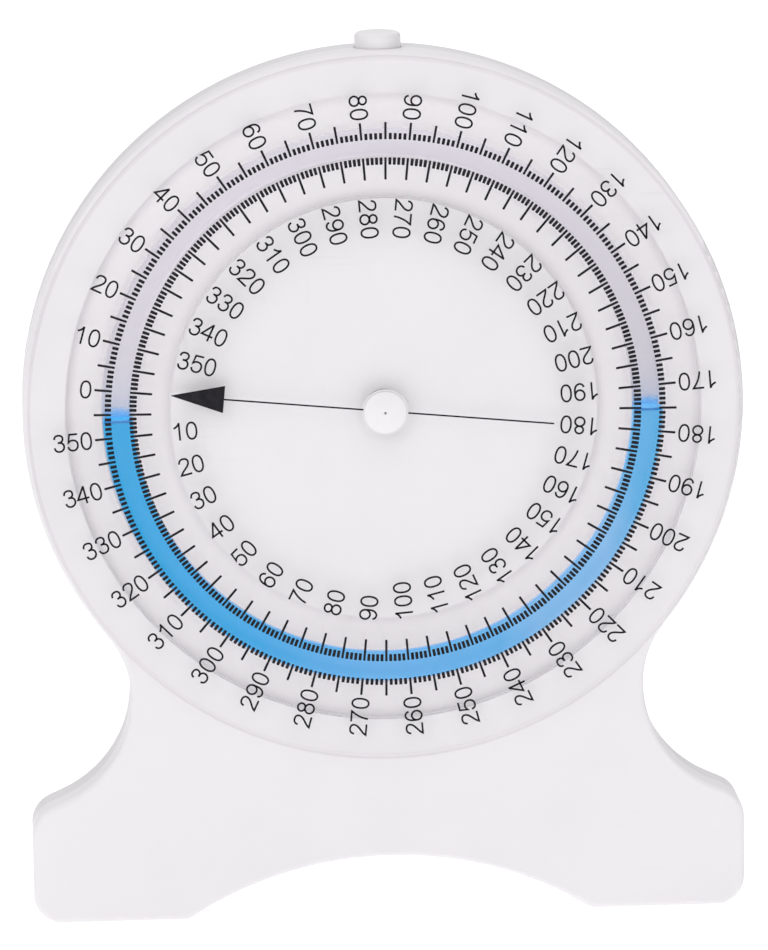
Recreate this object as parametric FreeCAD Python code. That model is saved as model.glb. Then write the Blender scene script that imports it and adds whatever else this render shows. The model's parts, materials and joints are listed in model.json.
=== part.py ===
"""Bubble inclinometer: a white case on two feet, a sealed liquid ring and a clear dial that turns.

Millimetres, +Z up, standing on z = 0. The front faces -Y. X and Y are zero in the middle of the
object's width and depth. Every round piece at the front is centred on the dial's axis, which runs
along Y at the height axis_height.
"""
import FreeCAD
import Part
import math
import os

V = FreeCAD.Vector
BACK = V(0, 1, 0)
UP = V(0, 0, 1)

# Outline of the case, seen from the front
drum_radius = 56.2
waist_half_width = 40.3
waist_height = 36.35
upper_waist_radius = 15.15
lower_waist_radius = 18.4
shoulder_slope = 24.0
shoulder_run = 2.34
shoulder_radius = 4.8
toe_radius = 4.5
heel_radius = 3.0
arch_rise = 9.4
arch_radius = 59.0
front_edge_radius = 0.8

# Thicknesses from front to back
hub_head_rise = 1.0
dial_thickness = 2.2
dial_gap = 0.3
case_thickness = 9.7

# Case walls and back cover
side_wall = 2.2
front_skin = 2.0
pocket_wall = 2.0
pocket_floor = 1.3
rib_thickness = 1.4
cover_thickness = 1.5
cover_lip = 1.2
cover_clearance = 0.1
cover_gap = 0.2

# Sealed liquid ring, from the drum's edge inwards
rim_width = 6.8
flange_width = 5.5
flange_thickness = 1.0
channel_width = 5.0
vial_recess = 0.6
vial_cover_thickness = 0.9
channel_wall = 0.9
channel_floor = 0.8
channel_bevel = 0.8
vial_clearance = 0.2
vial_bond = 0.05
liquid_clearance = 0.2
liquid_drop = 1.2

# Dial and its pivot
dial_margin = 0.7
dial_bevel = 0.5
pin_radius = 2.0
pin_clearance = 0.06
pin_head_radius = 3.25
pin_head_edge = 0.35
dimple_radius = 0.3
dimple_depth = 0.4
head_gap = 0.05
washer_radius = 3.1
washer_thickness = 0.75
washer_gap = 0.05
washer_clearance = 0.1
hub_boss_radius = 6.0
hub_boss_gap = 1.3
clip_radius = 4.6
clip_thickness = 0.5
clip_teeth = 6
clip_slot_width = 0.8
clip_slot_length = 1.2
pin_tail = 0.5

# Fill plug on top of the drum
plug_radius = 3.6
plug_rise = 2.3
plug_edge_radius = 0.8
plug_seat_depth = 0.45
plug_clearance = 0.12
stem_radius = 1.7
fill_hole_radius = 0.9
nose_clearance = 0.1
seal_clearance = 0.1
seal_thickness = 0.8
plug_boss_radius = 3.3

# Screws of the back cover
screw_radius = 1.1
screw_head_radius = 2.4
screw_head_height = 1.2
screw_clearance = 0.05
screw_boss_radius = 3.0
screw_tip_gap = 0.5
screw_recess_width = 0.7
screw_recess_length = 3.1
screw_recess_depth = 0.6
pilot_skin = 1.7
inner_screw_margin = 7.2
foot_screw_inset = 13.2
foot_screw_height = 13.0

# Ribs behind the front skin
hub_rib_count = 6
rim_rib_count = 12
foot_rib_x = 22.0

# Outline worked out from the above: its arcs and lines run into each other without a corner
slope = math.radians(shoulder_slope)
shoulder_arcs = lower_waist_radius + shoulder_radius
foot_half_width = waist_half_width + shoulder_arcs * (1 - math.sin(slope)) + shoulder_run * math.cos(slope)
shoulder_height = waist_height - shoulder_arcs * math.cos(slope) - shoulder_run * math.sin(slope)
upper_arcs = drum_radius + upper_waist_radius
upper_offset = waist_half_width + upper_waist_radius
axis_rise = math.sqrt(upper_arcs ** 2 - upper_offset ** 2)
axis_height = waist_height + axis_rise

# Radii about the dial's axis
dial_radius = drum_radius - dial_margin
flange_outer_radius = drum_radius - rim_width
channel_outer_radius = flange_outer_radius - flange_width
channel_inner_radius = channel_outer_radius - channel_width
flange_inner_radius = channel_inner_radius - flange_width
vial_outer_radius = channel_outer_radius + channel_wall
vial_inner_radius = channel_inner_radius - channel_wall
pocket_outer_radius = flange_outer_radius + vial_clearance
pocket_inner_radius = flange_inner_radius - vial_clearance
inner_screw_circle = pocket_inner_radius - pocket_wall - inner_screw_margin - screw_boss_radius

# Places along Y, worked out from the thicknesses
total_depth = hub_head_rise + dial_thickness + dial_gap + case_thickness
print_y = -total_depth / 2 + hub_head_rise
dial_back_y = print_y + dial_thickness
case_front_y = dial_back_y + dial_gap
case_back_y = case_front_y + case_thickness
cover_front_y = case_back_y - cover_thickness
vial_front_y = case_front_y + vial_recess
channel_front_y = vial_front_y + vial_cover_thickness
flange_back_y = channel_front_y + flange_thickness
ledge_y = flange_back_y + vial_bond
pocket_back_y = cover_front_y - cover_gap
pocket_bottom_y = pocket_back_y - pocket_floor
vial_back_y = pocket_bottom_y - vial_bond
channel_bottom_y = vial_back_y - channel_floor
hub_boss_back_y = cover_front_y - hub_boss_gap
washer_seat_y = dial_back_y + washer_gap + washer_thickness
pilot_bottom_y = case_front_y + pilot_skin
plug_y = (case_front_y + case_back_y) / 2


def at(radius, degrees, y=0.0):
    """A point at a radius and an angle about the dial's axis; 0 degrees is +X, 90 is up."""
    a = math.radians(degrees)
    return V(radius * math.cos(a), y, axis_height + radius * math.sin(a))


def rod(x, z, radius, y0, y1):
    """A round bar along Y."""
    return Part.makeCylinder(radius, y1 - y0, V(x, y0, z), BACK)


def disc(radius, y0, y1):
    """A round bar on the dial's axis."""
    return rod(0, axis_height, radius, y0, y1)


def ring(inner, outer, y0, y1):
    """A flat ring on the dial's axis."""
    return disc(outer, y0, y1).cut(disc(inner, y0, y1))


def arc(cx, cz, radius, start, end, y):
    """An arc in the plane at y, by its centre and its two angles in degrees."""
    points = []
    for angle in (start, (start + end) / 2, end):
        a = math.radians(angle)
        points.append(V(cx + radius * math.cos(a), y, cz + radius * math.sin(a)))
    return Part.Arc(*points).toShape()


def ends(edge):
    """First and last point of an edge, in its own direction."""
    return edge.valueAt(edge.FirstParameter), edge.valueAt(edge.LastParameter)


def right_side(inset, y):
    """Edges of the right half of the outline, from the drum's tangent point down to the arch."""
    upper_x = waist_half_width + upper_waist_radius
    lower_x = waist_half_width + lower_waist_radius
    shoulder_x = foot_half_width - shoulder_radius
    tangent = math.degrees(math.atan2(-axis_rise, upper_x))
    upper = arc(upper_x, waist_height, upper_waist_radius + inset, tangent + 180, 180, y)
    lower = arc(lower_x, waist_height, lower_waist_radius + inset, 180, 270 - shoulder_slope, y)
    shoulder = arc(shoulder_x, shoulder_height, shoulder_radius - inset, 90 - shoulder_slope, 0, y)
    toe = arc(foot_half_width - toe_radius, toe_radius, toe_radius - inset, 0, -90, y)
    arch_z = arch_rise - arch_radius
    heel_x = math.sqrt((arch_radius + heel_radius) ** 2 - (heel_radius - arch_z) ** 2)
    meet = math.degrees(math.atan2(heel_radius - arch_z, heel_x))
    heel = arc(heel_x, heel_radius, heel_radius - inset, -90, meet - 180, y)

    arcs = [upper, lower, shoulder, toe, heel]
    edges = [upper]
    for first, second in zip(arcs, arcs[1:]):
        a = ends(first)[1]
        b = ends(second)[0]
        if a.distanceToPoint(b) > 1e-6:
            edges.append(Part.LineSegment(a, b).toShape())
        edges.append(second)
    return edges, tangent, meet


def outline(inset, y):
    """Closed outline of the case at y, moved inwards by inset."""
    edges, tangent, meet = right_side(inset, y)
    left = [edge.mirror(V(0, 0, 0), V(1, 0, 0)) for edge in edges]
    drum = arc(0, axis_height, drum_radius - inset, tangent, 180 - tangent, y)
    arch = arc(0, arch_rise - arch_radius, arch_radius + inset, meet, 180 - meet, y)
    parts = Part.__sortEdges__(edges + [drum, arch] + left)
    return Part.Wire(parts)


def plate(inset, y0, y1):
    """The case outline, moved inwards by inset, as a plate from y0 to y1."""
    return Part.Face(outline(inset, y0)).extrude(BACK * (y1 - y0))


def hub_screws():
    """Centres of the cover's three screws round the hub."""
    points = [at(inner_screw_circle, degrees) for degrees in (90, 210, 330)]
    return [(p.x, p.z) for p in points]


def foot_screws():
    """Centres of the cover's two screws, one in each foot."""
    x = foot_half_width - foot_screw_inset
    return [(-x, foot_screw_height), (x, foot_screw_height)]


def screw_places():
    """Centres of all the cover's screws."""
    return hub_screws() + foot_screws()


def spoke(degrees, r0, r1, y1):
    """A flat radial rib between two radii, from the case's front back to y1."""
    corner = V(r0, case_front_y, axis_height - rib_thickness / 2)
    rib = Part.makeBox(r1 - r0, y1 - case_front_y, rib_thickness, corner)
    rib.rotate(V(0, 0, axis_height), V(0, -1, 0), degrees)
    return rib


def upright(x, z0, z1, y1):
    """A flat vertical rib, from the case's front back to y1."""
    corner = V(x - rib_thickness / 2, case_front_y, z0)
    return Part.makeBox(rib_thickness, y1 - case_front_y, z1 - z0, corner)


def radial_rod(radius, z0, z1):
    """A round bar along Z at the fill plug's place, between two distances from the dial's axis."""
    return Part.makeCylinder(radius, z1 - z0, V(0, plug_y, axis_height + z0), UP)


def vial_pocket():
    """The stepped ring that the vial sits in, open to the front."""
    wide = ring(pocket_inner_radius, pocket_outer_radius, case_front_y, ledge_y)
    inner = vial_inner_radius - vial_clearance
    outer = vial_outer_radius + vial_clearance
    return wide.fuse(ring(inner, outer, case_front_y, pocket_bottom_y))


def inner_structure():
    """Everything that stands behind the front skin: pocket walls, bosses and ribs."""
    inner = pocket_inner_radius - pocket_wall
    outer = pocket_outer_radius + pocket_wall
    deep_inner = vial_inner_radius - vial_clearance - pocket_wall
    deep_outer = vial_outer_radius + vial_clearance + pocket_wall
    rim = drum_radius - side_wall / 2
    parts = [
        ring(inner, outer, case_front_y, ledge_y + pocket_wall),
        ring(deep_inner, deep_outer, case_front_y, pocket_back_y),
        disc(hub_boss_radius, case_front_y, hub_boss_back_y),
        radial_rod(plug_boss_radius, vial_outer_radius, rim),
    ]
    for x, z in screw_places():
        parts.append(rod(x, z, screw_boss_radius, case_front_y, cover_front_y))
    for i in range(hub_rib_count):
        degrees = 360 / hub_rib_count * i
        parts.append(spoke(degrees, hub_boss_radius / 2, inner + pocket_wall / 2, hub_boss_back_y))
    for i in range(rim_rib_count):
        degrees = 360 / rim_rib_count * (i + 0.5)
        if at(drum_radius, degrees).z > waist_height:
            parts.append(spoke(degrees, outer - pocket_wall / 2, rim, pocket_back_y))
    for x in (-foot_rib_x, 0, foot_rib_x):
        pocket_z = axis_height - math.sqrt(deep_outer ** 2 - x ** 2)
        parts.append(upright(x, 0, pocket_z + pocket_wall / 2, hub_boss_back_y))
    for x, z in foot_screws():
        parts.append(upright(x, 0, waist_height, hub_boss_back_y))
    return parts[0].multiFuse(parts[1:])


def case_body():
    """White moulding: drum, waist and feet in one, hollow from the back."""
    shell = plate(0, case_front_y, case_back_y)
    rim = [e for e in shell.Edges if e.BoundBox.YMax < case_front_y + 1e-6]
    shell = shell.makeFillet(front_edge_radius, rim)
    hollow = plate(side_wall, case_front_y + front_skin, case_back_y)
    shell = shell.cut(hollow.cut(inner_structure()))
    shell = shell.cut(plate(cover_lip, cover_front_y, case_back_y))
    shell = shell.cut(vial_pocket())
    shell = shell.cut(disc(pin_radius + pin_clearance, case_front_y, hub_boss_back_y))
    shell = shell.cut(disc(washer_radius + washer_clearance, case_front_y, washer_seat_y))
    for x, z in screw_places():
        shell = shell.cut(rod(x, z, screw_radius + screw_clearance, pilot_bottom_y, cover_front_y))
    bore = radial_rod(stem_radius + plug_clearance, channel_outer_radius, drum_radius + plug_rise)
    seat = radial_rod(plug_radius + plug_clearance, drum_radius - plug_seat_depth, drum_radius + plug_rise)
    return shell.cut(bore).cut(seat)


def back_cover():
    """Flat plate let into the rear rim, with countersunk holes."""
    cover = plate(cover_lip + cover_clearance, cover_front_y, case_back_y)
    for x, z in screw_places():
        cover = cover.cut(rod(x, z, screw_radius + 2 * screw_clearance, cover_front_y, case_back_y))
        cover = cover.cut(
            Part.makeCone(
                screw_radius + 2 * screw_clearance,
                screw_head_radius + screw_clearance,
                screw_head_height,
                V(x, case_back_y - screw_head_height, z),
                BACK,
            )
        )
    return cover


def cover_screw(x, z):
    """One blunt countersunk screw with a cross recess."""
    head = Part.makeCone(
        screw_radius,
        screw_head_radius,
        screw_head_height,
        V(x, case_back_y - screw_head_height, z),
        BACK,
    )
    shank = rod(x, z, screw_radius, pilot_bottom_y + screw_tip_gap, case_back_y - screw_head_height)
    screw = head.fuse(shank)
    long, short = screw_recess_length / 2, screw_recess_width / 2
    for w, h in ((long, short), (short, long)):
        corner = V(x - w, case_back_y - screw_recess_depth, z - h)
        screw = screw.cut(Part.makeBox(2 * w, screw_recess_depth, 2 * h, corner))
    return screw.removeSplitter()


def bevel_edges_at(shape, y, size, radii):
    """Bevels the circular edges that lie at y and have one of the given radii."""
    picked = []
    for e in shape.Edges:
        circle = isinstance(e.Curve, Part.Circle)
        if circle and abs(e.BoundBox.YMin - y) < 1e-6 and abs(e.BoundBox.YMax - y) < 1e-6:
            if any(abs(e.Curve.Radius - r) < 1e-6 for r in radii):
                picked.append(e)
    return shape.makeChamfer(size, picked)


def vial_channel():
    """Clear ring with a U-shaped channel between two flanges, and the fill hole on top.

    A thin film of adhesive, as thick as vial_bond and not modelled, holds it in its pocket.

    A deep stem of the plug gets a notch in the flange; a shallow one passes behind it.
    """
    body = ring(vial_inner_radius, vial_outer_radius, channel_front_y, vial_back_y)
    radii = (vial_inner_radius, vial_outer_radius)
    body = bevel_edges_at(body, vial_back_y, channel_bevel, radii)
    body = body.fuse(ring(flange_inner_radius, flange_outer_radius, channel_front_y, flange_back_y))
    groove = ring(channel_inner_radius, channel_outer_radius, channel_front_y, channel_bottom_y)
    radii = (channel_inner_radius, channel_outer_radius)
    groove = bevel_edges_at(groove, channel_bottom_y, channel_bevel, radii)
    hole_start = channel_outer_radius - channel_wall
    hole = radial_rod(fill_hole_radius, hole_start, vial_outer_radius + channel_wall)
    notch_radius = stem_radius + plug_clearance
    notch = radial_rod(notch_radius, vial_outer_radius + nose_clearance / 2, pocket_outer_radius)
    return body.cut([groove, hole, notch]).removeSplitter()


def vial_cover():
    """Clear flat ring bonded over the channel."""
    return ring(flange_inner_radius, flange_outer_radius, vial_front_y, channel_front_y)


def coloured_liquid():
    """The liquid below its level, as one solid in the channel."""
    inner = channel_inner_radius + liquid_clearance
    outer = channel_outer_radius - liquid_clearance
    bottom = channel_bottom_y - liquid_clearance
    body = ring(inner, outer, channel_front_y + liquid_clearance, bottom)
    body = bevel_edges_at(body, bottom, channel_bevel, (inner, outer))
    level = axis_height - liquid_drop
    corner = V(-2 * outer, case_front_y, level)
    return body.cut(Part.makeBox(4 * outer, case_thickness, 2 * outer, corner))


def dial():
    """Clear disc with a bevelled rim and the pivot hole."""
    body = disc(dial_radius, print_y, dial_back_y)
    body = bevel_edges_at(body, print_y, dial_bevel, (dial_radius,))
    return body.cut(disc(pin_radius + pin_clearance, print_y, dial_back_y))


def hub_pin():
    """Dome-headed pivot pin with a small dimple in its head."""
    seat_y = print_y - head_gap
    edge_y = seat_y - pin_head_edge
    top_y = print_y - hub_head_rise
    points = [
        V(0, top_y + dimple_depth, 0),
        V(dimple_radius, top_y, 0),
        V(pin_head_radius, edge_y, 0),
        V(pin_head_radius, seat_y, 0),
        V(pin_radius, seat_y, 0),
        V(pin_radius, hub_boss_back_y + clip_thickness + pin_tail, 0),
        V(0, hub_boss_back_y + clip_thickness + pin_tail, 0),
    ]
    rise = edge_y - top_y
    dome = (pin_head_radius ** 2 + rise ** 2) / (2 * rise)
    middle = pin_head_radius / 2
    crown = V(middle, top_y + dome - math.sqrt(dome ** 2 - middle ** 2), 0)
    edges = [Part.LineSegment(points[0], points[1]).toShape()]
    edges.append(Part.Arc(points[1], crown, points[2]).toShape())
    for a, b in zip(points[2:], points[3:]):
        edges.append(Part.LineSegment(a, b).toShape())
    edges.append(Part.LineSegment(points[-1], points[0]).toShape())
    profile = Part.Face(Part.Wire(edges))
    profile.translate(V(0, 0, axis_height))
    return profile.revolve(V(0, 0, axis_height), BACK, 360)


def friction_washer():
    """Thin washer that drags on the back of the dial."""
    y0 = dial_back_y + washer_gap
    return ring(pin_radius + pin_clearance, washer_radius, y0, y0 + washer_thickness)


def hub_clip():
    """Push-on clip: a flat ring cut into teeth round the pin."""
    y0 = hub_boss_back_y
    clip = ring(pin_radius + pin_clearance / 3, clip_radius, y0, y0 + clip_thickness)
    for i in range(clip_teeth):
        corner = V(0, y0, axis_height - clip_slot_width / 2)
        slot = Part.makeBox(pin_radius + clip_slot_length, clip_thickness, clip_slot_width, corner)
        slot.rotate(V(0, 0, axis_height), BACK, 360 / clip_teeth * i)
        clip = clip.cut(slot)
    return clip


def fill_plug():
    """Round plug with a flat seat, a stem and a nose that closes the fill hole."""
    seat = drum_radius - plug_seat_depth
    cap = radial_rod(plug_radius, seat, drum_radius + plug_rise)
    top = [e for e in cap.Edges if e.BoundBox.ZMin > axis_height + drum_radius + plug_rise - 1e-6]
    cap = cap.makeFillet(plug_edge_radius, top)
    stem_end = vial_outer_radius + seal_thickness + nose_clearance
    nose_radius = fill_hole_radius - nose_clearance
    stem = radial_rod(stem_radius, stem_end, seat)
    nose = radial_rod(nose_radius, channel_outer_radius + nose_clearance, stem_end)
    return cap.fuse([stem, nose]).removeSplitter()


def plug_seal():
    """Soft washer round the plug's nose, between the stem and the vial's outer wall."""
    z0 = vial_outer_radius + nose_clearance / 2
    z1 = z0 + seal_thickness
    seal = radial_rod(stem_radius - seal_clearance, z0, z1)
    return seal.cut(radial_rod(fill_hole_radius - nose_clearance, z0, z1))


def main():
    os.makedirs("parts", exist_ok=True)
    pieces = {
        "case_body": case_body(),
        "back_cover": back_cover(),
        "cover_screws": Part.makeCompound([cover_screw(x, z) for x, z in screw_places()]),
        "vial_channel": vial_channel(),
        "vial_cover": vial_cover(),
        "coloured_liquid": coloured_liquid(),
        "fill_plug": fill_plug(),
        "plug_seal": plug_seal(),
        "dial": dial(),
        "hub_pin": hub_pin(),
        "friction_washer": friction_washer(),
        "hub_clip": hub_clip(),
    }
    for name, shape in pieces.items():
        box = shape.BoundBox
        print(
            "%-16s solids %d valid %s volume %9.1f  x %7.2f %7.2f  y %6.2f %6.2f  z %7.2f %7.2f"
            % (name, len(shape.Solids), shape.isValid(), shape.Volume,
               box.XMin, box.XMax, box.YMin, box.YMax, box.ZMin, box.ZMax)
        )
        shape.exportStep("parts/%s.step" % name)


main()
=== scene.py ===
"""Looks of the bubble inclinometer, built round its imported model. Metres, +Z up, the front faces -Y."""
import json
import math

import bpy
from mathutils import Matrix, Vector

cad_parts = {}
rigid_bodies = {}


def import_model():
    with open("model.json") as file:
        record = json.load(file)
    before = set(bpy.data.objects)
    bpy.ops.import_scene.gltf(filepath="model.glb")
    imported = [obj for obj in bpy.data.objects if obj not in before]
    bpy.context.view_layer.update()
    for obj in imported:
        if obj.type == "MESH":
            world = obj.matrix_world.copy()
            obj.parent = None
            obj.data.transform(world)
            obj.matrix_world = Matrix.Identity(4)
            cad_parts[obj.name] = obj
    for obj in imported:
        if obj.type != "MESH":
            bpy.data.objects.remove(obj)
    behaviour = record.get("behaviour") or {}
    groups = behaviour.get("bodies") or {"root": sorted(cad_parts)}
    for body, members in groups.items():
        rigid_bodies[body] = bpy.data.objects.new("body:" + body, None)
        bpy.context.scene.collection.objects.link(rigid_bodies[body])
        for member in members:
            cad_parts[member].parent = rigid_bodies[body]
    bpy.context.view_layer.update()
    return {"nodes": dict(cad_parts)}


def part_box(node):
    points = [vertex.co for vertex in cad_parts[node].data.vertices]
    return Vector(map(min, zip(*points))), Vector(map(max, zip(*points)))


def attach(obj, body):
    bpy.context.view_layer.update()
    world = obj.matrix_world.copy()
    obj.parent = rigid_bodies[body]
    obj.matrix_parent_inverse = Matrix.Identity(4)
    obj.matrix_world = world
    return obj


for thing in list(bpy.data.objects):
    bpy.data.objects.remove(thing)

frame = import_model()
nodes = frame["nodes"]
MM = 0.001
ON_AXIS = Vector((0, 0))

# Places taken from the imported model; the two radii are in millimetres
dial_low, dial_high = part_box("dial")
cover_low, cover_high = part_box("vial_cover")
liquid_low, liquid_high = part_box("coloured_liquid")
AXIS_Z = (dial_low.z + dial_high.z) / 2
PRINT_Y = dial_low.y
CHANNEL_FRONT_Y = cover_high.y
LEVEL_Z = liquid_high.z
DIAL_RADIUS = (dial_high.x - dial_low.x) / 2 / MM
FLANGE_RADIUS = (cover_high.x - cover_low.x) / 2 / MM

# The vial: the radius of its channel's middle, and how far its flanges reach across, both in millimetres
CHANNEL_RADIUS = 41.4
FLANGE_SPAN = 16.0

# The print, in millimetres and degrees round its own centre, which lies a little off the axis
PRINT_SHIFT = Vector((0.12, 0.12)) * MM
INK_RISE = 0.03 * MM
INK_SINK = 0.005 * MM
ZERO_ANGLE = 174.35
MAJOR_STEP = 5
NUMBER_STEP = 10
OUTER_MINOR = (42.6, 43.6)
OUTER_MAJOR = (42.6, 45.3)
INNER_MINOR = (38.66, 39.8)
INNER_MAJOR = (36.35, 39.8)
MINOR_WIDTH = 0.47
MAJOR_WIDTH = 0.365
OUTER_LABEL_END = 45.75
INNER_LABEL_START = 33.3
ARROW_TIP = 33.4
ARROW_LENGTH = 8.2
ARROW_HALF_WIDTH = 2.15
ARROW_BLUNT_HALF = 0.05
LINE_WIDTH = 0.25
LINE_GAP = 3.5
LINE_END = 26.3

# Shares of a width: a mark's rounded ends, and a floor that keeps a sharp corner from reaching far out
TICK_ROUNDING = 0.18
TICK_END_WIDTH = 0.72
MITRE_FLOOR = 0.4

# The digits; all but the height are in shares of the height
DIGIT_HEIGHT = 2.8
DIGIT_STROKE = 0.107
DIGIT_ADVANCE = 0.755
DIGIT_INK_START = 0.06
DIGIT_INK_END = 0.71
DIGIT_MIDDLE = Vector((0.386, 0.4935))

# The adhesive that fills the narrow gaps round the vial
BOND_WIDTH = 0.2
BOND_DEPTH = 0.8 * MM
BOND_STEP = 2

# The wet film on the channel's floor above the liquid's level, and the line of its meniscus
FILM_HEIGHT = 1.6
FILM_RADII = (39.5, 43.3)
FILM_THICKNESS = 0.08 * MM
FILM_STEPS = 8
MENISCUS_SPAN = (39.3, 43.5)
MENISCUS_HEIGHT = 0.36
MENISCUS_CURL = 0.2
MENISCUS_THICKNESS = 0.03 * MM
MENISCUS_STEPS = 12


def rgb(red, green=None, blue=None):
    """A colour; red alone gives a grey."""
    return (red, red if green is None else green, red if blue is None else blue, 1.0)


def both_sides(*stops):
    """Stops by distance from the middle of the vial's channel, as radii on both sides of it."""
    inner = [(CHANNEL_RADIUS - distance, level) for distance, level in reversed(stops)]
    outer = [(CHANNEL_RADIUS + distance, level) for distance, level in stops]
    return inner + outer


# White plastic: its tones, its shine, and where the side walls of the case turn darker in depth
WHITE = rgb(0.86, 0.838, 0.86)
WHITE_LOW = rgb(0.835, 0.814, 0.837)
WALL_SHADE_TONE = rgb(0.45, 0.44, 0.45)
WALL_SHADE = 0.22
WALL_SHADE_START = 1.2
WALL_SHADE_FULL = 2.0
PLASTIC_IOR = 1.48

# Hairline scuffs on it: how the noise is stretched along each axis, between which levels of the noise a
# hair and a patch of hairs come up, and how much they change tone and roughness
LEVEL_HAIR_STRETCH = (60, 60, 1400)
LEVEL_HAIR_RANGE = (0.71, 0.76)
UPRIGHT_HAIR_STRETCH = (900, 900, 70)
UPRIGHT_HAIR_RANGE = (0.73, 0.78)
SCUFF_PATCH_RANGE = (0.5, 0.62)
SCUFF_TONE = rgb(0.55, 0.54, 0.55)
SCUFF_STRENGTH = 0.35
SCUFF_ROUGHNESS = 0.15

# The painted shade in the dimple of the pin's head: radii in millimetres, and how dark it is at each
PIN_SHADE = [(0.0, 0.9), (0.09, 0.8), (0.22, 0.0), (3.3, 0.0)]
DIMPLE_SHADE_TONE = rgb(0.05)

# Clear plastic: its tint and how far it drops in places, its gloss and the share of it on side walls,
# the painted shade on the dial's bevelled rim, which stands in for light that the bevel bends away, and
# the white patch painted round the hub, which covers the shade under the pin's head
CLEAR = rgb(0.999, 0.998, 1.0)
CLEAR_LOW = 0.998
GLOSS_IOR = 1.4
SIDE_SHINE = 0.15
BEVEL_WIDTH = 0.5
BEVEL_BLEND = 0.04
BEVEL_WALL_SHADE = rgb(0.93, 0.925, 0.93)
BEVEL_FLAT_SHADE = rgb(0.965, 0.96, 0.965)
HUB_LIGHT_PATCH = 3.6
PLANE_TOLERANCE = 0.02 * MM

# How milky the vial is: millimetres from the middle of its channel, and the share of white at each, or
# of painted shade at the flanges' rims. The white is partly milky plastic and partly painted light, which
# lifts the shade of the recess and covers the shade in the narrow gaps beside the channel's walls. Cover
# and flange touch, so both turn milky at the same places
RIM_SHADE = both_sides((6.6, 0.0), (7.6, 0.5), (8.1, 0.6))
BOND_MILK_AND_LIGHT = both_sides((2.5, 0.0), (2.75, 0.97), (8.1, 0.97))
FRONT_MILK_AND_LIGHT = both_sides((2.3, 0.80), (2.5, 0.20), (2.75, 0.97), (8.1, 0.97))
REAR_MILK_AND_LIGHT = both_sides((2.1, 0.0), (2.4, 0.9), (3.4, 0.9), (3.7, 0.0))
SKIN_MILK_AND_LIGHT = both_sides((3.1, 0.0), (3.3, 0.9))
SIDE_MILK_AND_LIGHT = 0.3
FLANGE_MILK_AND_LIGHT = rgb(0.855, 0.83, 0.85)
CHANNEL_MILK_AND_LIGHT = rgb(0.84, 0.815, 0.87)
RIM_SHADE_TONE = rgb(0.74, 0.72, 0.74)

# The painted glow that stands in for light the vial's plastic guides: how strong it is across the ring,
# and how it fades downwards
CHANNEL_LIGHT = [(CHANNEL_RADIUS + offset, level) for offset, level in (
    (-8.1, 0.105), (-4.0, 0.10), (-3.5, 0.09), (-2.5, 0.09), (-2.3, 0.155),
    (2.3, 0.155), (2.5, 0.09), (3.5, 0.09), (4.0, 0.105), (8.1, 0.105))]
ON_FLANGE = both_sides((2.3, 0.0), (2.5, 1.0))
FLANGE_EVENNESS = 0.5
FADE_LOW = AXIS_Z - 5 * MM
FADE_HIGH = AXIS_Z + 41 * MM
FADE_LEAN = 0.25
FADED_SHARE = 0.1
WALL_LIGHT = 0.78

# The liquid: its blue from left to right and how far clouds move it, the glow of its flat and its side
# faces, and the film that it leaves, which has a painted glow of its own
LIQUID_REACH = 40 * MM
LIQUID_BLUES = [(0.0, rgb(0.026, 0.40, 0.79)), (0.25, rgb(0.05, 0.41, 0.82)), (0.5, rgb(0.14, 0.47, 0.88)),
                (0.75, rgb(0.125, 0.465, 0.86)), (0.89, rgb(0.25, 0.53, 0.87)), (1.0, rgb(0.11, 0.46, 0.83))]
LIQUID_CLOUDS = 0.07
LIQUID_FLAT_GLOW = 0.1
LIQUID_SIDE_GLOW = 0.3
LIQUID_IOR = 1.34
FILM_BLUE = rgb(0.16, 0.50, 0.86)
FILM_SHARE = 0.55
FILM_RAGGEDNESS = 0.25

# Where a noise pattern is spread from and to, how squarely a face has to look along the depth to count
# as a side wall or as flat, how far plastic's roughness drifts and how far metal's tone drops
NOISE_RANGE = (0.3, 0.7)
FLAT_RANGE = (0.3, 0.6)
ROUGHNESS_DRIFT = 0.05
METAL_LOW = 0.86

# How many clear surfaces a ray may pass: the dial and the vial are stacked, there and back
CLEAR_LAYERS = 32

# The floor, and the white surroundings: their strength at the horizon and overhead, and how much they
# dim towards both sides and towards the right
FLOOR_HALF = 6.0
FLOOR_GLOW = 0.38
HORIZON_LIGHT = 0.56
OVERHEAD_LIGHT = 1.28
SIDE_DIMMING = 0.7
RIGHT_DIMMING = 0.12

# The soft lamps, in metres and watts: place, width and height, power
LAMP_TARGET = Vector((0, 0, 0.07))
LAMPS = {
    "key_left": ((-0.9, -1.3, 0.95), (0.9, 0.9), 2.9),
    "key_right": ((1.0, -1.2, 0.8), (0.9, 0.9), 0.6),
    "rear_fill": ((0.5, 1.5, 1.0), (1.0, 0.8), 1.0),
}

# The camera, worked out from the print's marks in the photograph: degrees to the left of the front,
# degrees above it and degrees tilted, and the view's middle from the print's centre, right and up
CAMERA_AZIMUTH = 3.353627
CAMERA_ELEVATION = 11.490474
CAMERA_ROLL = -0.770102
CAMERA_DISTANCE = 988.699 * MM
VIEW_MIDDLE = (-0.2965 * MM, -9.8789 * MM)
CAMERA_LENS = 241.536
CAMERA_SENSOR = 36.0
CAMERA_CLIP = (0.01, 50)


def polar(radius, degrees):
    """Millimetres across and up from a centre."""
    angle = math.radians(degrees)
    return Vector((math.cos(angle), math.sin(angle))) * radius


def sideways(direction):
    """A direction turned a quarter turn to the left."""
    return Vector((-direction.y, direction.x))


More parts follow.
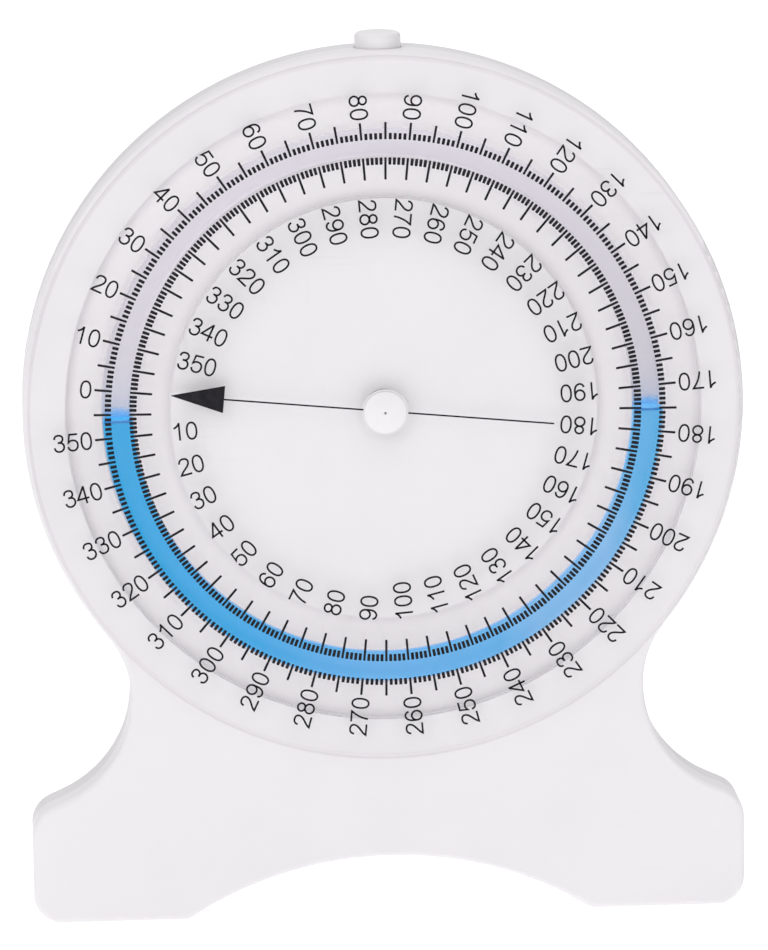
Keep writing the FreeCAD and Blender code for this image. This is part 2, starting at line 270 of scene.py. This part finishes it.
def oval(centre, half_width, half_height, start, end, steps, square=2.0):
    """Points along an oval between two angles in degrees; a larger square gives fuller corners."""
    points = []
    for i in range(steps + 1):
        angle = math.radians(start + (end - start) * i / steps)
        c, s = math.cos(angle), math.sin(angle)
        x = centre[0] + half_width * math.copysign(abs(c) ** (2 / square), c)
        y = centre[1] + half_height * math.copysign(abs(s) ** (2 / square), s)
        points.append(Vector((x, y)))
    return points


def loop(centre, half_width, half_height, steps, square=2.0):
    """A closed oval."""
    return oval(centre, half_width, half_height, 0, 360, steps, square)[:-1]


def smooth(points, steps):
    """A smooth line through points, with some steps between one and the next."""
    points = [Vector(p) for p in points]
    line = []
    for i in range(len(points) - 1):
        p0 = points[max(i - 1, 0)]
        p1, p2 = points[i], points[i + 1]
        p3 = points[min(i + 2, len(points) - 1)]
        for k in range(steps):
            t = k / steps
            line.append(
                0.5 * (2 * p1 + (p2 - p0) * t + (2 * p0 - 5 * p1 + 4 * p2 - p3) * t * t
                       + (3 * p1 - p0 - 3 * p2 + p3) * t * t * t)
            )
    line.append(points[-1])
    return line


def straight(*points):
    """A line of straight runs."""
    return [Vector(p) for p in points]


def half_turned(line):
    """A digit's line, turned by half a turn about the digit's middle."""
    return [2 * DIGIT_MIDDLE - p for p in line]


def digit_strokes():
    """Strokes of the ten digits, one unit high: (points, closed) each."""
    two = smooth([(0.128, 0.708), (0.158, 0.82), (0.245, 0.92), (0.389, 0.953), (0.535, 0.925),
                  (0.624, 0.835), (0.638, 0.728), (0.607, 0.615), (0.515, 0.49), (0.353, 0.341),
                  (0.215, 0.215), (0.13, 0.11)], 4) + straight((0.098, 0.054), (0.703, 0.054))
    three_top = smooth([(0.132, 0.734), (0.163, 0.84), (0.24, 0.925), (0.373, 0.954), (0.505, 0.925),
                        (0.588, 0.845), (0.601, 0.746), (0.565, 0.63), (0.46, 0.553), (0.312, 0.533)], 4)
    three_bowl = smooth([(0.36, 0.535), (0.47, 0.53), (0.575, 0.48), (0.635, 0.39), (0.648, 0.294),
                         (0.615, 0.17), (0.515, 0.067), (0.377, 0.033), (0.25, 0.06), (0.158, 0.145),
                         (0.12, 0.272)], 4)
    five_bowl = smooth([(0.19, 0.54), (0.28, 0.594), (0.394, 0.609), (0.535, 0.575), (0.63, 0.475),
                        (0.656, 0.334), (0.625, 0.185), (0.525, 0.07), (0.379, 0.033), (0.25, 0.06),
                        (0.158, 0.145), (0.123, 0.267)], 4)
    six_tail = smooth([(0.634, 0.75), (0.566, 0.885), (0.405, 0.952), (0.235, 0.875), (0.140, 0.70),
                       (0.119, 0.50), (0.124, 0.314)], 5)
    six_bowl = oval((0.387, 0.314), 0.263, 0.281, 180, -180, 32)[:-1]
    seven_leg = smooth([(0.63, 0.89), (0.53, 0.755), (0.42, 0.56), (0.33, 0.325), (0.285, 0.14),
                        (0.269, 0.0)], 4)
    return {
        "0": [(loop((0.384, 0.4935), 0.266, 0.46, 40, 2.25), True)],
        "1": [
            (straight((0.459, 0.0), (0.459, 1.0)), False),
            (smooth([(0.152, 0.694), (0.283, 0.762), (0.392, 0.857), (0.452, 0.965)], 5), False),
        ],
        "2": [(two, False)],
        "3": [(three_top, False), (three_bowl, False)],
        "4": [
            (straight((0.513, 0.0), (0.513, 1.0)), False),
            (straight((0.505, 0.965), (0.055, 0.296), (0.709, 0.296)), False),
        ],
        "5": [(straight((0.674, 0.943), (0.226, 0.943), (0.146, 0.50)) + five_bowl, False)],
        "6": [(six_tail, False), (six_bowl, True)],
        "7": [(straight((0.066, 0.936), (0.655, 0.936)) + seven_leg, False)],
        "8": [
            (loop((0.385, 0.747), 0.226, 0.207, 32), True),
            (loop((0.386, 0.287), 0.2665, 0.253, 36), True),
        ],
        "9": [(half_turned(six_tail), False), (half_turned(six_bowl), True)],
    }


DIGITS = digit_strokes()


def mesh_object(name, verts, faces, material):
    mesh = bpy.data.meshes.new(name)
    mesh.from_pydata(verts, [], faces)
    mesh.validate()
    mesh.materials.append(material)
    obj = bpy.data.objects.new(name, mesh)
    bpy.context.scene.collection.objects.link(obj)
    return obj


class Plates:
    """Collects thin closed plates in one plane and turns them into one object.

    The plane's points are millimetres across and up from a centre, which lies off the axis by shift.
    """

    def __init__(self, front=PRINT_Y - INK_RISE, back=PRINT_Y + INK_SINK, shift=PRINT_SHIFT):
        self.front, self.back = front, back
        self.centre = Vector((shift.x, 0, AXIS_Z + shift.y))
        self.verts = []
        self.faces = []

    def strip(self, left, right, closed=False):
        """A plate between two lines of points."""
        base = len(self.verts)
        count = len(left)
        for pair in zip(left, right):
            for p in pair:
                for depth in (self.front, self.back):
                    self.verts.append(self.centre + Vector((p.x * MM, depth, p.y * MM)))
        for i in range(count if closed else count - 1):
            a = base + 4 * i
            b = base + 4 * ((i + 1) % count)
            self.faces.append((a, a + 2, b + 2, b))
            self.faces.append((a + 1, b + 1, b + 3, a + 3))
            self.faces.append((a, b, b + 1, a + 1))
            self.faces.append((a + 2, a + 3, b + 3, b + 2))
        if not closed:
            last = base + 4 * (count - 1)
            self.faces.append((base, base + 1, base + 3, base + 2))
            self.faces.append((last, last + 2, last + 3, last + 1))

    def stroke(self, points, width, closed=False):
        """A line of even width through points, with mitred corners."""
        left, right = [], []
        count = len(points)
        for i, p in enumerate(points):
            before = points[i - 1] if i or closed else None
            after = points[(i + 1) % count] if i < count - 1 or closed else None
            into = (p - before).normalized() if before is not None else (after - p).normalized()
            out = (after - p).normalized() if after is not None else into
            across = sideways((into + out).normalized())
            reach = width / 2 / max(MITRE_FLOOR, across.dot(sideways(out)))
            left.append(p + across * reach)
            right.append(p - across * reach)
        self.strip(left, right, closed)

    def build(self, name, material, body="dial", slot="black_print"):
        obj = mesh_object(name, self.verts, self.faces, material)
        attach(obj, body)


def tick(plates, radii, degrees, width):
    """One radial mark with slightly rounded ends."""
    outward = polar(1, degrees)
    half = sideways(outward) * width / 2
    start, end = radii
    rounding = width * TICK_ROUNDING
    left, right = [], []
    for radius, share in ((start, TICK_END_WIDTH), (start + rounding, 1), (end - rounding, 1),
                          (end, TICK_END_WIDTH)):
        left.append(outward * radius + half * share)
        right.append(outward * radius - half * share)
    plates.strip(left, right)


def label(plates, text, origin_radius, degrees):
    """A number that reads towards the centre, its first digit's origin at a radius."""
    outward = polar(1, degrees)
    along = -outward
    up = sideways(along)
    for i, digit in enumerate(text):
        for points, closed in DIGITS[digit]:
            placed = []
            for p in points:
                x = (p.x + i * DIGIT_ADVANCE) * DIGIT_HEIGHT
                y = (p.y - DIGIT_MIDDLE.y) * DIGIT_HEIGHT
                placed.append(outward * origin_radius + along * x + up * y)
            plates.stroke(placed, DIGIT_STROKE * DIGIT_HEIGHT, closed)


def make_marks(black):
    """Two rings of a mark per degree, numbered opposite ways round."""
    outer, inner = Plates(), Plates()
    for degree in range(360):
        major = degree % MAJOR_STEP == 0
        width = MAJOR_WIDTH if major else MINOR_WIDTH
        tick(outer, OUTER_MAJOR if major else OUTER_MINOR, ZERO_ANGLE - degree, width)
        tick(inner, INNER_MAJOR if major else INNER_MINOR, ZERO_ANGLE + degree, width)
    outer.build("outer_marks", black)
    inner.build("inner_marks", black)


def make_numbers(black):
    """Numbers of both rings; the arrow's tip takes the place of the inner ring's zero."""
    outer, inner = Plates(), Plates()
    for value in range(0, 360, NUMBER_STEP):
        text = str(value)
        reach = ((len(text) - 1) * DIGIT_ADVANCE + DIGIT_INK_END) * DIGIT_HEIGHT
        label(outer, text, OUTER_LABEL_END + reach, ZERO_ANGLE - value)
        if value:
            label(inner, text, INNER_LABEL_START + DIGIT_INK_START * DIGIT_HEIGHT, ZERO_ANGLE + value)
    outer.build("outer_numbers", black)
    inner.build("inner_numbers", black)


def make_pointer(black):
    """The arrow and its line, which leaves a gap at the hub."""
    pointer = Plates()
    outward = polar(1, ZERO_ANGLE)
    across = sideways(outward)
    tip = outward * ARROW_TIP
    foot = outward * (ARROW_TIP - ARROW_LENGTH)
    pointer.strip([tip + across * ARROW_BLUNT_HALF, foot + across * ARROW_HALF_WIDTH],
                  [tip - across * ARROW_BLUNT_HALF, foot - across * ARROW_HALF_WIDTH])
    pointer.stroke([foot, outward * LINE_GAP], LINE_WIDTH)
    pointer.stroke([outward * -LINE_GAP, outward * -LINE_END], LINE_WIDTH)
    pointer.build("pointer_line", black)


def make_bond():
    """Rings of set adhesive outside and inside the vial's flanges."""
    bond = Plates(cover_low.y, CHANNEL_FRONT_Y + BOND_DEPTH, ON_AXIS)
    for inner in (FLANGE_RADIUS, FLANGE_RADIUS - FLANGE_SPAN - BOND_WIDTH):
        edges = [[polar(radius, degree) for degree in range(0, 360, BOND_STEP)]
                 for radius in (inner, inner + BOND_WIDTH)]
        bond.strip(*edges, closed=True)
    bond.build("bond_rings", bond_look(), "case", "clear_vial")


def make_liquid_edge():
    """The liquid's edge on both sides: a meniscus line in front and a wet film on the channel's floor."""
    level = (LEVEL_Z - AXIS_Z) / MM
    near, far = MENISCUS_SPAN
    film = Plates(liquid_high.y - FILM_THICKNESS, liquid_high.y, ON_AXIS)
    meniscus = Plates(liquid_low.y - MENISCUS_THICKNESS, liquid_low.y + INK_SINK, ON_AXIS)
    for side in (-1, 1):
        heights = [level + FILM_HEIGHT * i / FILM_STEPS for i in range(FILM_STEPS + 1)]
        edges = [[Vector((side * math.sqrt(radius ** 2 - z ** 2), z)) for z in heights]
                 for radius in FILM_RADII]
        film.strip(*edges)
        lower, upper = [], []
        for i in range(MENISCUS_STEPS + 1):
            share = i / MENISCUS_STEPS
            x = side * (near + (far - near) * share)
            lower.append(Vector((x, level - MENISCUS_HEIGHT)))
            upper.append(Vector((x, level + MENISCUS_CURL * (2 * share - 1) ** 2)))
        meniscus.strip(lower, upper)
    film.build("wet_film", wet_film_look(), "liquid", "blue_liquid")
    meniscus.build("meniscus_line", meniscus_look(), "liquid", "blue_liquid")


class Nodes:
    """Short ways to add shader nodes to a tree."""

    def __init__(self, tree):
        self.tree = tree

    def add(self, kind, inputs=None, **settings):
        node = self.tree.nodes.new("ShaderNode" + kind)
        for key, value in settings.items():
            setattr(node, key, value)
        for key, value in (inputs or {}).items():
            if isinstance(value, bpy.types.NodeSocket):
                self.tree.links.new(value, node.inputs[key])
            else:
                node.inputs[key].default_value = value
        return node

    def math(self, operation, a, b=0.0, clamp=False):
        return self.add("Math", {0: a, 1: b}, operation=operation, use_clamp=clamp).outputs[0]

    def times(self, a, b):
        return self.math("MULTIPLY", a, b)


class Shader(Nodes):
    """One node material that is being put together."""

    def __init__(self, name):
        self.material = bpy.data.materials.new(name)
        self.material.use_nodes = True
        super().__init__(self.material.node_tree)
        self.tree.nodes.clear()
        self.output = self.add("OutputMaterial")
        self.coord = self.add("TexCoord").outputs["Object"]

    def noise(self, scale, detail=2.0, roughness=0.5, vector=None):
        inputs = {"Vector": vector or self.coord, "Scale": scale, "Detail": detail, "Roughness": roughness}
        return self.add("TexNoise", inputs).outputs["Fac"]

    def span(self, value, low, high, out_low, out_high, smoothly=False):
        """Maps a value's range onto another, held at the ends."""
        inputs = {"Value": value, "From Min": low, "From Max": high, "To Min": out_low, "To Max": out_high}
        kind = "SMOOTHSTEP" if smoothly else "LINEAR"
        return self.add("MapRange", inputs, interpolation_type=kind).outputs["Result"]

    def spread(self, noise, low, high):
        """Spreads the middle range of a noise between two values."""
        return self.span(noise, *NOISE_RANGE, low, high)

    def mix(self, factor, a, b):
        """Mixes two colours."""
        return self.add("Mix", {0: factor, 6: a, 7: b}, data_type="RGBA").outputs[2]

    def blend(self, share, under, over):
        """Mixes two shaders; a share of 1 shows only the one over the other."""
        return self.add("MixShader", {0: share, 1: under.outputs[0], 2: over.outputs[0]})

    def tones(self, value, stops):
        """A colour that runs straight from stop to stop, each a place between 0 and 1 and a colour."""
        node = self.add("ValToRGB", {"Fac": value})
        elements = node.color_ramp.elements
        elements[0].color, elements[1].color = stops[0][1], stops[-1][1]
        for place, tone in stops[1:-1]:
            elements.new(place).color = tone
        return node.outputs["Color"]

    def ramp(self, value, stops):
        """A number that runs straight from stop to stop, each a place in millimetres and a level."""
        first, last = stops[0][0], stops[-1][0]
        share = self.span(value, first * MM, last * MM, 0.0, 1.0)
        return self.tones(share, [((place - first) / (last - first), rgb(level)) for place, level in stops])

    def stretched(self, x, y, z):
        """Object coordinates, scaled per axis."""
        return self.add("Mapping", {"Vector": self.coord, "Scale": (x, y, z)}).outputs["Vector"]

    def bump(self, height, strength, distance, normal=None):
        inputs = {"Height": height, "Strength": strength, "Distance": distance}
        if normal is not None:
            inputs["Normal"] = normal
        return self.add("Bump", inputs).outputs["Normal"]

    def place(self, axis):
        """Object coordinate along one axis."""
        return self.add("SeparateXYZ", {"Vector": self.coord}).outputs[axis]

    def radius(self):
        """Distance from the dial's axis."""
        x, z = self.place("X"), self.math("SUBTRACT", self.place("Z"), AXIS_Z)
        return self.math("SQRT", self.math("ADD", self.times(x, x), self.times(z, z)))

    def flat_normal(self):
        """The face's own normal; the smoothed one streaks where long thin faces meet a curve."""
        return self.add("NewGeometry").outputs["True Normal"]

    def across_depth(self):
        """How squarely a face looks along the depth: 1 for flat front and back faces, 0 for side walls."""
        return self.math("ABSOLUTE", self.add("SeparateXYZ", {"Vector": self.flat_normal()}).outputs["Y"])

    def flatness(self, side_value=0.0, flat_value=1.0):
        """One value on side walls and another on flat front and back faces."""
        return self.span(self.across_depth(), *FLAT_RANGE, side_value, flat_value)

    def outside(self):
        """1 on the side of a face that looks outwards, 0 on its inner side."""
        return self.math("SUBTRACT", 1.0, self.add("NewGeometry").outputs["Backfacing"])

    def inside(self):
        return self.math("SUBTRACT", 1.0, self.outside())

    def end(self, shader):
        self.tree.links.new(shader.outputs[0], self.output.inputs["Surface"])
        return self.material


def moulded_white(name, colour, dark, roughness, grain=0.25, wear=0.35, cloud_scale=45.0, dimple=None,
                  wall_shade=0.0):
    """Satin moulded plastic: faint flow clouds, a fine tool grain and a few hairline scuffs.

    The dimple's painted shade darkens it by radius, and wall_shade the rear of the side walls.
    """
    s = Shader(name)
    clouds = s.span(s.noise(cloud_scale, detail=4.0, roughness=0.55), 0.35, 0.7, 0.0, 1.0)
    base = s.mix(clouds, dark, colour)
    level_hairs, upright_hairs = (
        s.span(s.noise(1.0, detail=1.0, vector=s.stretched(*stretch)), *shown, 0.0, 1.0)
        for stretch, shown in ((LEVEL_HAIR_STRETCH, LEVEL_HAIR_RANGE),
                               (UPRIGHT_HAIR_STRETCH, UPRIGHT_HAIR_RANGE))
    )
    patches = s.span(s.noise(22.0), *SCUFF_PATCH_RANGE, 0.0, 1.0)
    scuffs = s.math("MULTIPLY", s.math("MAXIMUM", level_hairs, upright_hairs), patches, clamp=True)
    base = s.mix(s.times(scuffs, wear * SCUFF_STRENGTH), base, SCUFF_TONE)
    # Painted shade: the dimple darkened by radius
    if dimple:
        base = s.mix(s.ramp(s.radius(), dimple), base, DIMPLE_SHADE_TONE)
    if wall_shade:
        rear = s.span(s.place("Y"), WALL_SHADE_START * MM, WALL_SHADE_FULL * MM, 0.0, wall_shade)
        side_wall = s.span(s.across_depth(), 0.3, 0.5, 1.0, 0.0)
        base = s.mix(s.times(rear, side_wall), base, WALL_SHADE_TONE)
    uneven = s.spread(s.noise(300.0, detail=3.0), roughness - ROUGHNESS_DRIFT, roughness + ROUGHNESS_DRIFT)
    rough = s.math("ADD", uneven, s.times(scuffs, SCUFF_ROUGHNESS), clamp=True)
    fine_grain = s.bump(s.noise(2600.0, roughness=0.6), strength=grain, distance=0.03 * MM)
    waves = s.bump(s.noise(28.0, detail=1.0), strength=0.12, distance=0.6 * MM, normal=fine_grain)
    return s.end(s.add("BsdfPrincipled", {"Base Color": base, "Roughness": rough, "IOR": PLASTIC_IOR,
                                          "Normal": waves}))


def clear_tint(s, tint):
    """What one clear surface lets through, a little uneven."""
    clouds = s.spread(s.noise(70.0, detail=3.0), 0.0, 1.0)
    low = rgb(*(part * CLEAR_LOW for part in tint[:3]))
    return s.add("BsdfTransparent", {"Color": s.mix(clouds, low, tint)})


def polished(s, see, gloss_roughness, shine):
    """Ends a clear material: what shows through it, under an outward gloss that is fullest on flat faces."""
    ripple = s.bump(s.noise(35.0, detail=1.0), strength=0.05, distance=0.4 * MM, normal=s.flat_normal())
    fresnel = s.add("Fresnel", {"IOR": GLOSS_IOR, "Normal": ripple}).outputs[0]
    amount = s.math("MULTIPLY", s.times(fresnel, s.flatness(SIDE_SHINE, shine)), s.outside(), clamp=True)
    rough = s.span(s.noise(500.0, detail=3.0), 0.35, 0.75, gloss_roughness, gloss_roughness + ROUGHNESS_DRIFT)
    gloss = s.add("BsdfGlossy", {"Roughness": rough, "Normal": ripple})
    return s.end(s.blend(amount, see, gloss))


def dial_look():
    """Polished clear plastic with painted shade on its bevelled rim for light the bevel bends away, and a
    white patch painted behind the hub over the shade under its head.
    """
    s = Shader("dial_look")
    bevel = DIAL_RADIUS - BEVEL_WIDTH
    on_bevel = s.span(s.radius(), (bevel - BEVEL_BLEND) * MM, (bevel + BEVEL_BLEND) * MM, 0.0, 1.0)
    # Painted shade on the bevelled rim, for light that the bevel bends away
    bevel_shade = s.mix(s.flatness(), BEVEL_WALL_SHADE, BEVEL_FLAT_SHADE)
    see = s.blend(on_bevel, clear_tint(s, rgb(1.0)), s.add("BsdfTransparent", {"Color": bevel_shade}))
    # Painted light: a white patch round the hub that covers the shade under the pin's head
    near_hub = s.math("LESS_THAN", s.radius(), HUB_LIGHT_PATCH * MM)
    in_front = s.math("LESS_THAN", s.place("Y"), PRINT_Y + PLANE_TOLERANCE)
    patch = s.times(s.times(near_hub, in_front), s.times(s.flatness(), s.outside()))
    white = s.add("BsdfDiffuse", {"Color": s.mix(s.noise(80.0), WHITE_LOW, WHITE)})
    return polished(s, s.blend(patch, see, white), gloss_roughness=0.03, shine=0.5)


def glowing_milk(s, radius):
    """White of the milky plastic, partly painted light, with a painted glow for light that it guides
    from above.
    """
    # Painted glow, which fades downwards and towards the right
    upper_left = s.math("SUBTRACT", s.place("Z"), s.times(s.place("X"), FADE_LEAN))
    rise = s.span(upper_left, FADE_LOW, FADE_HIGH, FADED_SHARE, 1.0)
    on_flange = s.ramp(radius, ON_FLANGE)
    evenly = s.times(on_flange, FLANGE_EVENNESS)
    glow = s.times(s.ramp(radius, CHANNEL_LIGHT), s.math("MAXIMUM", rise, evenly))
    tone = s.mix(on_flange, CHANNEL_MILK_AND_LIGHT, FLANGE_MILK_AND_LIGHT)
    white = s.add("BsdfDiffuse", {"Color": s.mix(s.ramp(radius, RIM_SHADE), tone, RIM_SHADE_TONE)})
    light = s.add("Emission", {"Color": tone, "Strength": glow})
    return s.add("AddShader", {0: white.outputs[0], 1: light.outputs[0]})


def vial_cover_look():
    """Clear plastic of the vial's cover; its bonded back face looks like the flange that it touches."""
    s = Shader("vial_cover_look")
    radius = s.radius()
    at_back = s.times(s.math("GREATER_THAN", s.place("Y"), CHANNEL_FRONT_Y - PLANE_TOLERANCE), s.inside())
    # Milky white on the bonded back face, partly painted light over the shade of the recess
    share = s.times(s.ramp(radius, BOND_MILK_AND_LIGHT), at_back)
    see = s.blend(share, clear_tint(s, CLEAR), glowing_milk(s, radius))
    return polished(s, see, gloss_roughness=0.04, shine=0.6)


def channel_look():
    """Clear plastic of the vial's channel: flanges and floor milky, partly as painted light, and a painted
    glow for light that runs inside its walls.
    """
    s = Shader("channel_look")
    radius = s.radius()
    flat = s.flatness()
    # Milky white, partly painted light over the shade of the recess and of the gaps by the walls
    front = s.times(s.mix(flat, rgb(SIDE_MILK_AND_LIGHT), s.ramp(radius, FRONT_MILK_AND_LIGHT)), s.outside())
    behind = s.times(s.mix(flat, s.ramp(radius, SKIN_MILK_AND_LIGHT), s.ramp(radius, REAR_MILK_AND_LIGHT)), s.inside())
    # Painted glow inside the channel's walls, which are no lamp
    painted_wall_glow = s.add("Emission", {"Color": CHANNEL_MILK_AND_LIGHT, "Strength": WALL_LIGHT})
    see = s.blend(front, clear_tint(s, CLEAR), glowing_milk(s, radius))
    return polished(s, s.blend(behind, see, painted_wall_glow), gloss_roughness=0.05, shine=0.3)


def blue_liquid_look():
    """Azure liquid: deepest at the left, palest some way to the right, with more glow on its side walls."""
    s = Shader("blue_liquid_look")
    across = s.span(s.place("X"), -LIQUID_REACH, LIQUID_REACH, 0.0, 1.0)
    cloud = s.spread(s.noise(55.0, detail=3.0), -LIQUID_CLOUDS, LIQUID_CLOUDS)
    blue = s.tones(s.math("ADD", across, cloud, clamp=True), LIQUID_BLUES)
    inner_light = s.span(s.across_depth(), 0.0, 1.0, LIQUID_SIDE_GLOW, LIQUID_FLAT_GLOW)
    return s.end(s.add("BsdfPrincipled", {"Base Color": blue, "Roughness": 0.12, "IOR": LIQUID_IOR,
                                          "Normal": s.bump(s.noise(90.0), strength=0.1, distance=0.4 * MM),
                                          "Emission Color": s.mix(inner_light, rgb(0.0), blue),
                                          "Emission Strength": 1.0}))


def wet_film_look():
    """Thin blue film that fades upwards from the liquid's level, with a little painted glow."""
    s = Shader("wet_film_look")
    ragged = s.times(s.spread(s.noise(900.0), -FILM_RAGGEDNESS, FILM_RAGGEDNESS), MM)
    height = s.math("ADD", s.place("Z"), ragged)
    share = s.span(height, LEVEL_Z, LEVEL_Z + FILM_HEIGHT * MM, FILM_SHARE, 0.0, smoothly=True)
    # The film's glow is painted light
    blue = s.add("BsdfPrincipled", {"Base Color": FILM_BLUE, "Roughness": 0.3,
                                    "Emission Color": FILM_BLUE, "Emission Strength": 0.3})
    return s.end(s.blend(share, s.add("BsdfTransparent", {"Color": rgb(1.0)}), blue))


def meniscus_look():
    """Deeper blue line where the liquid meets the cover."""
    s = Shader("meniscus_line_look")
    tone = s.mix(s.noise(400.0), rgb(0.03, 0.24, 0.66), rgb(0.04, 0.28, 0.72))
    return s.end(s.add("BsdfPrincipled", {"Base Color": tone, "Roughness": 0.2, "IOR": LIQUID_IOR}))


def bond_look():
    """Cloudy set adhesive."""
    s = Shader("bond_look")
    tone = s.mix(s.noise(120.0, detail=3.0), rgb(0.80, 0.78, 0.80), rgb(0.88, 0.86, 0.88))
    return s.end(s.add("BsdfPrincipled", {"Base Color": tone, "Roughness": 0.35, "IOR": 1.45,
                                          "Normal": s.bump(s.noise(150.0), strength=0.3, distance=0.2 * MM)}))


def ink_look():
    """Printed black, a little uneven."""
    s = Shader("ink_look")
    tone = s.mix(s.spread(s.noise(900.0), 0.0, 1.0), rgb(0.009, 0.008, 0.011), rgb(0.02, 0.018, 0.022))
    return s.end(s.add("BsdfPrincipled", {"Base Color": tone, "Specular IOR Level": 0.15,
                                          "Roughness": s.spread(s.noise(1500.0), 0.5, 0.66)}))


def metal(name, colour, roughness, stretch):
    """Plated steel with fine marks along one direction."""
    s = Shader(name)
    marks = s.noise(1.0, detail=4.0, roughness=0.6, vector=s.stretched(*stretch))
    dark = rgb(*(part * METAL_LOW for part in colour[:3]))
    return s.end(s.add("BsdfPrincipled", {"Base Color": s.mix(s.spread(marks, 0.0, 1.0), dark, colour),
                                          "Metallic": 1.0,
                                          "Roughness": s.spread(marks, roughness - 0.06, roughness + 0.08),
                                          "Normal": s.bump(marks, strength=0.15, distance=0.03 * MM)}))


def rubber_look():
    """Dull black rubber."""
    s = Shader("rubber_look")
    tone = s.mix(s.noise(700.0), rgb(0.012), rgb(0.03))
    grain = s.bump(s.noise(3000.0), strength=0.2, distance=0.03 * MM)
    return s.end(s.add("BsdfPrincipled", {"Base Color": tone, "Roughness": 0.75, "Normal": grain}))


def floor_look():
    """Plain pale floor."""
    s = Shader("floor_look")
    tone = s.mix(s.spread(s.noise(3.0, detail=3.0), 0.0, 1.0), rgb(0.90, 0.90, 0.905), rgb(0.93, 0.93, 0.935))
    return s.end(s.add("BsdfPrincipled", {"Base Color": tone, "Roughness": 0.9, "Specular IOR Level": 0.1,
                                          "Emission Color": rgb(1.0), "Emission Strength": FLOOR_GLOW}))


def dress_nodes():
    """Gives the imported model's pieces their looks."""
    looks = {
        "case_body": moulded_white("case_look", WHITE, WHITE_LOW, 0.46, wall_shade=WALL_SHADE),
        "back_cover": moulded_white("cover_look", rgb(0.85, 0.83, 0.85), rgb(0.82, 0.80, 0.822), 0.52,
                                    grain=0.5),
        "fill_plug": moulded_white("plug_look", rgb(0.87, 0.85, 0.87), WHITE_LOW, 0.36, grain=0.12),
        "hub_pin": moulded_white("pin_look", rgb(0.88, 0.86, 0.88), rgb(0.85, 0.83, 0.85), 0.4, grain=0.15,
                                 wear=1.0, cloud_scale=300.0, dimple=PIN_SHADE),
        "friction_washer": moulded_white("washer_look", rgb(0.8, 0.79, 0.77), rgb(0.75, 0.74, 0.72), 0.4,
                                         grain=0.1),
        "vial_channel": channel_look(),
        "vial_cover": vial_cover_look(),
        "dial": dial_look(),
        "coloured_liquid": blue_liquid_look(),
        "cover_screws": metal("screw_look", rgb(0.78, 0.79, 0.8), 0.3, (900, 200, 900)),
        "hub_clip": metal("clip_look", rgb(0.5, 0.51, 0.53), 0.35, (1500, 300, 200)),
        "plug_seal": rubber_look(),
    }
    for name, look in looks.items():
        for place in nodes[name].material_slots:
            place.material = look
    for name in ("dial", "vial_cover", "vial_channel"):
        nodes[name].visible_shadow = False


def make_floor():
    corners = [(-FLOOR_HALF, -FLOOR_HALF, 0), (FLOOR_HALF, -FLOOR_HALF, 0),
               (FLOOR_HALF, FLOOR_HALF, 0), (-FLOOR_HALF, FLOOR_HALF, 0)]
    mesh_object("floor", corners, [(0, 1, 2, 3)], floor_look())


def make_lamp(name, place, size, power):
    """A large soft lamp that looks at the object."""
    lamp = bpy.data.lights.new(name, "AREA")
    lamp.shape = "RECTANGLE"
    lamp.size, lamp.size_y = size
    lamp.energy = power
    obj = bpy.data.objects.new(name, lamp)
    obj.location = place
    obj.rotation_euler = (LAMP_TARGET - Vector(place)).to_track_quat("-Z", "Y").to_euler()
    bpy.context.scene.collection.objects.link(obj)


def make_surroundings():
    """White all round: dim at the horizon, bright overhead, dimmer at both sides and most at the right."""
    world = bpy.data.worlds.new("studio")
    world.use_nodes = True
    s = Nodes(world.node_tree)
    direction = s.add("SeparateXYZ", {"Vector": s.add("TexCoord").outputs["Generated"]}).outputs
    x = direction["X"]
    height = s.math("MAXIMUM", direction["Z"], 0.0)
    rise = s.math("ADD", HORIZON_LIGHT, s.times(height, OVERHEAD_LIGHT - HORIZON_LIGHT))
    at_sides = s.times(s.times(x, x), SIDE_DIMMING)
    at_right = s.times(s.math("MAXIMUM", x, 0.0), RIGHT_DIMMING)
    dim = s.math("SUBTRACT", 1.0, s.math("ADD", at_sides, at_right))
    background = s.tree.nodes["Background"]
    background.inputs["Color"].default_value = rgb(1.0)
    s.tree.links.new(s.times(rise, dim), background.inputs["Strength"])
    bpy.context.scene.world = world


def make_camera():
    lens = bpy.data.cameras.new("camera")
    lens.sensor_width = CAMERA_SENSOR
    lens.lens = CAMERA_LENS
    lens.clip_start, lens.clip_end = CAMERA_CLIP
    camera = bpy.data.objects.new("camera", lens)
    turns = ((-CAMERA_AZIMUTH, "Z"), (90 - CAMERA_ELEVATION, "X"), (CAMERA_ROLL, "Z"))
    aim = Matrix.Identity(3)
    for degrees, axis in turns:
        aim = aim @ Matrix.Rotation(math.radians(degrees), 3, axis)
    print_centre = Vector((PRINT_SHIFT.x, PRINT_Y, AXIS_Z + PRINT_SHIFT.y))
    spot = print_centre + aim @ Vector((*VIEW_MIDDLE, CAMERA_DISTANCE))
    camera.matrix_world = Matrix.Translation(spot) @ aim.to_4x4()
    bpy.context.scene.collection.objects.link(camera)
    bpy.context.scene.camera = camera


dress_nodes()
black = ink_look()
make_marks(black)
make_numbers(black)
make_pointer(black)
make_bond()
make_liquid_edge()
make_floor()
for lamp_name, lamp_settings in LAMPS.items():
    make_lamp(lamp_name, *lamp_settings)
make_surroundings()
make_camera()
bpy.context.scene.view_settings.view_transform = "Standard"
bpy.context.scene.cycles.transparent_max_bounces = CLEAR_LAYERS
